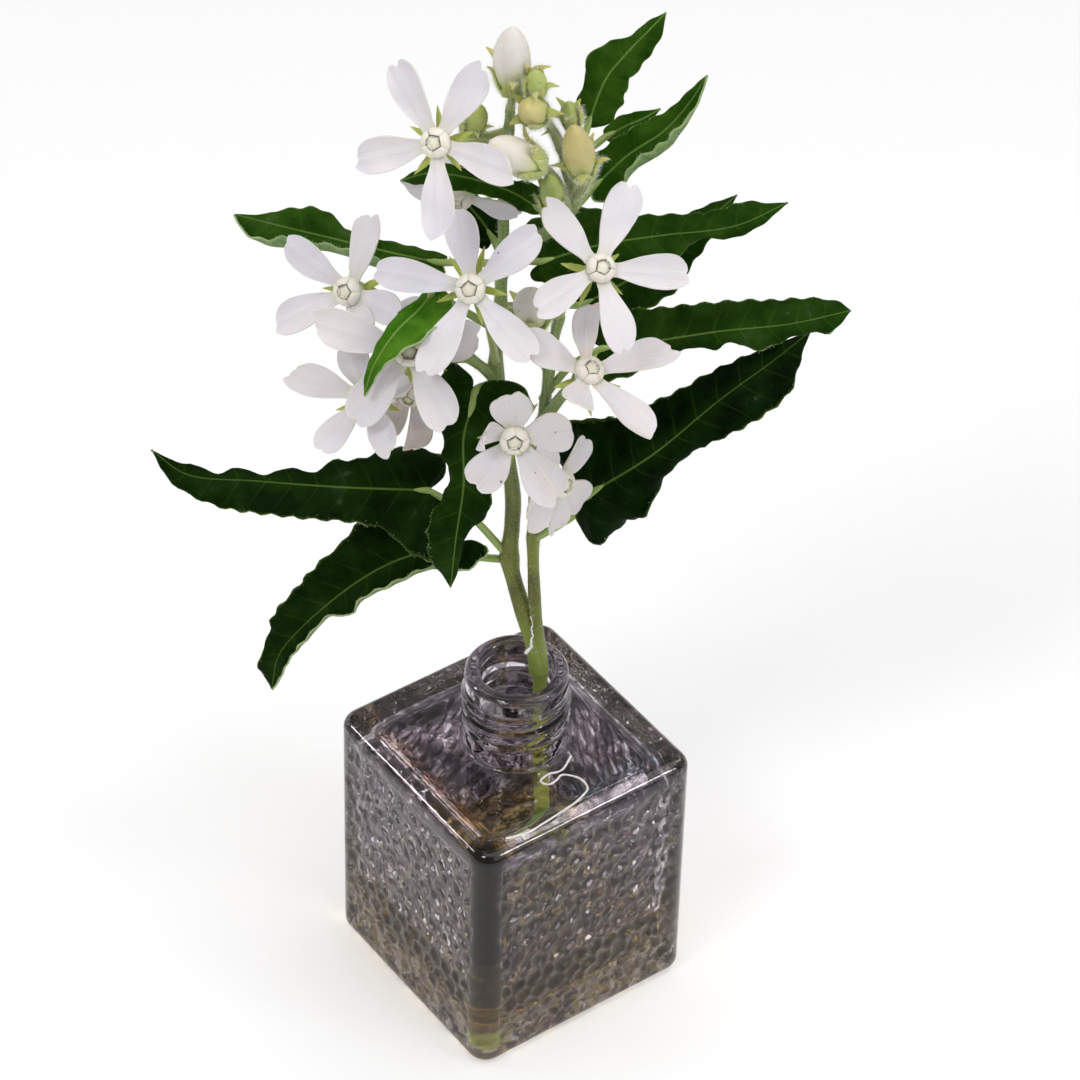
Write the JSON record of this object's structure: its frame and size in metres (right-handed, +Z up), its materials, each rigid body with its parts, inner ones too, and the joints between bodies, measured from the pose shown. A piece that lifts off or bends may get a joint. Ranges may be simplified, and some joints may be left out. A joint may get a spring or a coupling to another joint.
{
  "type": "tweedia in a vase",
  "caption": "Cut tweedia with pale star flowers, buds and wavy leaves, standing in a square smoky glass bottle that has a screw-thread neck.",
  "frame": {"origin": "centre of the bottle's underside", "axes": "+Z up along the bottle's axis; X and Y run square to the bottle's side walls"},
  "size_m": [0.099, 0.0815, 0.2247],
  "materials": {
    "glass": "polished",
    "stem": "matte",
    "leaf": "satin",
    "petal": "satin",
    "corona": "satin",
    "calyx": "matte",
    "bud": "satin"
  },
  "bodies": {
    "root": {"bottle": "glass", "bud_cluster_stalk": "stem", "bud_cream_left": "bud", "bud_cream_right": "bud", "bud_green_left": "bud", "bud_green_low": "bud", "bud_green_middle": "bud", "bud_round_white": "bud", "bud_top_large": "bud", "bud_top_small": "bud", "bud_yellowish": "bud", "flower_fading_calyx": "calyx", "flower_fading_corolla": "petal", "flower_left_calyx": "calyx", "flower_left_corolla": "petal", "flower_left_corona": "corona", "flower_left_low_calyx": "calyx", "flower_left_low_corolla": "petal", "flower_left_low_corona": "corona", "flower_low_behind_calyx": "calyx", "flower_low_behind_corolla": "petal", "flower_low_behind_corona": "corona", "flower_low_calyx": "calyx", "flower_low_corolla": "petal", "flower_low_corona": "corona", "flower_middle_calyx": "calyx", "flower_middle_corolla": "petal", "flower_middle_corona": "corona", "flower_right_calyx": "calyx", "flower_right_corolla": "petal", "flower_right_corona": "corona", "flower_right_low_calyx": "calyx", "flower_right_low_corolla": "petal", "flower_right_low_corona": "corona", "flower_under_leaf": "petal", "flower_upper_behind_calyx": "calyx", "flower_upper_behind_corolla": "petal", "flower_upper_behind_corona": "corona", "flower_upper_left_calyx": "calyx", "flower_upper_left_corolla": "petal", "flower_upper_left_corona": "corona", "leaf_behind_middle": "leaf", "leaf_front": "leaf", "leaf_left_bright": "leaf", "leaf_low_left_drooping": "leaf", "leaf_low_left_long": "leaf", "leaf_low_right": "leaf", "leaf_mid_right": "leaf", "leaf_top_right": "leaf", "leaf_top_right_curled": "leaf", "leaf_top_right_small": "leaf", "leaf_under_buds": "leaf", "leaf_upper_left": "leaf", "leaf_upper_right": "leaf", "leaf_upper_right_behind": "leaf", "left_flower_stalk": "stem", "main_stem": "stem", "right_flower_stalk": "stem", "side_stem": "stem", "upper_flower_stalk": "stem"}
  },
  "joints": []
}
